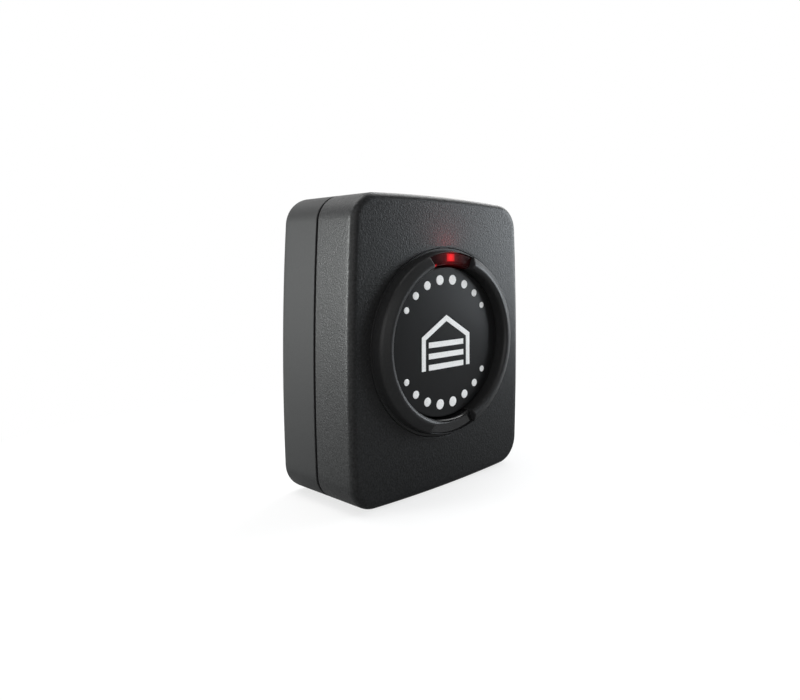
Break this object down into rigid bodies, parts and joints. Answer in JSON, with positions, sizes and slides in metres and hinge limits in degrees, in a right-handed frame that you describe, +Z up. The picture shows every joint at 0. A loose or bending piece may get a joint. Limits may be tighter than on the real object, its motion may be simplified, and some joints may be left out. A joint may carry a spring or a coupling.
{
  "type": "garage door controller",
  "caption": "Small split plastic case with a ringed round push button, a red status light and a tilt switch inside, fixed by its flat back to a garage door.",
  "frame": {"origin": "centre of the flat back face that is fixed to the door", "axes": "+Z up the closed door, -Y out of the front through the button, +X to the right seen from the front"},
  "size_m": [0.0452, 0.0248, 0.057],
  "materials": {
    "front_shell": "fine moulded grain",
    "rear_shell": "smooth moulded satin",
    "ring_plastic": "smooth satin",
    "button_plastic": "smooth satin",
    "white_ink": "printed",
    "window_plastic": "polished dark tint",
    "red_light": "clear red, lit",
    "board": "solder mask",
    "screw_steel": "zinc plated",
    "black_plastic": "moulded",
    "grey_plastic": "moulded",
    "cell_case": "bright plated",
    "contact_metal": "bright",
    "tinned_steel": "tinned",
    "led_lens": "clear resin",
    "ball_steel": "polished",
    "chip_resin": "moulded resin",
    "capacitor_body": "fired body",
    "capacitor_can": "sleeved can"
  },
  "bodies": {
    "rear": {"rear_cover": "rear_shell"},
    "front": {"front_cover": "front_shell", "guard_ring": "ring_plastic", "upper_window": "window_plastic", "lower_window": "window_plastic", "light_pipe": "red_light", "circuit_board": "board", "board_screws": "screw_steel", "battery_holder": "black_plastic", "coin_cell": "cell_case", "positive_clip": "contact_metal", "negative_contact": "contact_metal", "tact_switch_body": "black_plastic", "switch_terminals": "tinned_steel", "led": "led_lens", "tilt_can": "contact_metal", "tilt_header": "black_plastic", "tilt_pins": "tinned_steel", "tilt_cradle": "black_plastic", "radio_chip": "chip_resin", "shield_can": "tinned_steel", "crystal": "tinned_steel", "antenna": "contact_metal", "chip_capacitors": "capacitor_body", "chip_resistors": "chip_resin", "bulk_capacitor": "capacitor_can"},
    "button": {"button_disc": "button_plastic", "printed_dots": "white_ink", "door_icon": "white_ink"},
    "plunger": {"tact_plunger": "grey_plastic"},
    "ball": {"tilt_ball": "ball_steel"}
  },
  "joints": [
    {"name": "case_opening", "type": "slide", "parent": "rear", "child": "front", "axis": [0, -1, 0], "range_m": [0, 0.03]},
    {"name": "button_press", "type": "slide", "parent": "front", "child": "button", "axis": [0, 1, 0], "range_m": [0, 0.0005], "stiffness_N_per_m": 1000, "springref_m": -0.0015},
    {"name": "plunger_press", "type": "slide", "parent": "front", "child": "plunger", "axis": [0, 1, 0], "range_m": [0, 0.0005]},
    {"name": "ball_roll", "type": "slide", "parent": "front", "child": "ball", "axis": [0, -0.7071, 0.7071], "range_m": [0, 0.0019]}
  ],
  "couplings": [
    {"joint": "plunger_press", "follows": "button_press", "ratio": 1}
  ]
}
